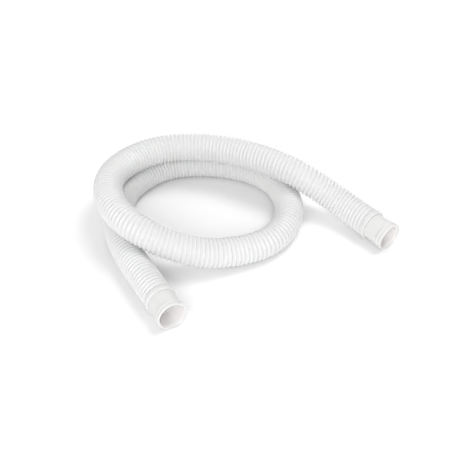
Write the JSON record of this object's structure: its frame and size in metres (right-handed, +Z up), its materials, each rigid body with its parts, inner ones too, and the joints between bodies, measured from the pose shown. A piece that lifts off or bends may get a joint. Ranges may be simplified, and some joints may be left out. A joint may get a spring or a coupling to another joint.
{
  "type": "vacuum hose",
  "caption": "Corrugated suction hose for a small pool or spa, lying in one loose loop that crosses itself, with a swivelling push-on cuff at each end.",
  "frame": {"origin": "centre of the underside of the hose as it lies, on the floor it rests on", "axes": "+Z up, +X from the left end to the right end; both mouths point roughly towards -Y"},
  "size_m": [0.3562, 0.3361, 0.0822],
  "materials": {
    "hose": "satin moulded",
    "cuff": "satin moulded",
    "ring": "moulded",
    "seal": "matt"
  },
  "bodies": {
    "hose": {"hose_wall": "hose", "right_hose_bush": "cuff", "left_hose_bush": "cuff", "right_swivel_washer": "seal", "left_swivel_washer": "seal", "right_retaining_ring": "ring", "left_retaining_ring": "ring"},
    "right_cuff": {"right_swivel_cuff": "cuff"},
    "left_cuff": {"left_swivel_cuff": "cuff"}
  },
  "joints": [
    {"name": "right_cuff_swivel", "type": "hinge", "parent": "hose", "child": "right_cuff", "pos_m": [0.15677, -0.14886, 0.0209], "axis": [0.0883, -0.9933, -0.0751], "continuous": true},
    {"name": "left_cuff_swivel", "type": "hinge", "parent": "hose", "child": "left_cuff", "pos_m": [-0.15726, -0.10287, 0.02032], "axis": [-0.1129, -0.9936, -0.009], "continuous": true}
  ]
}
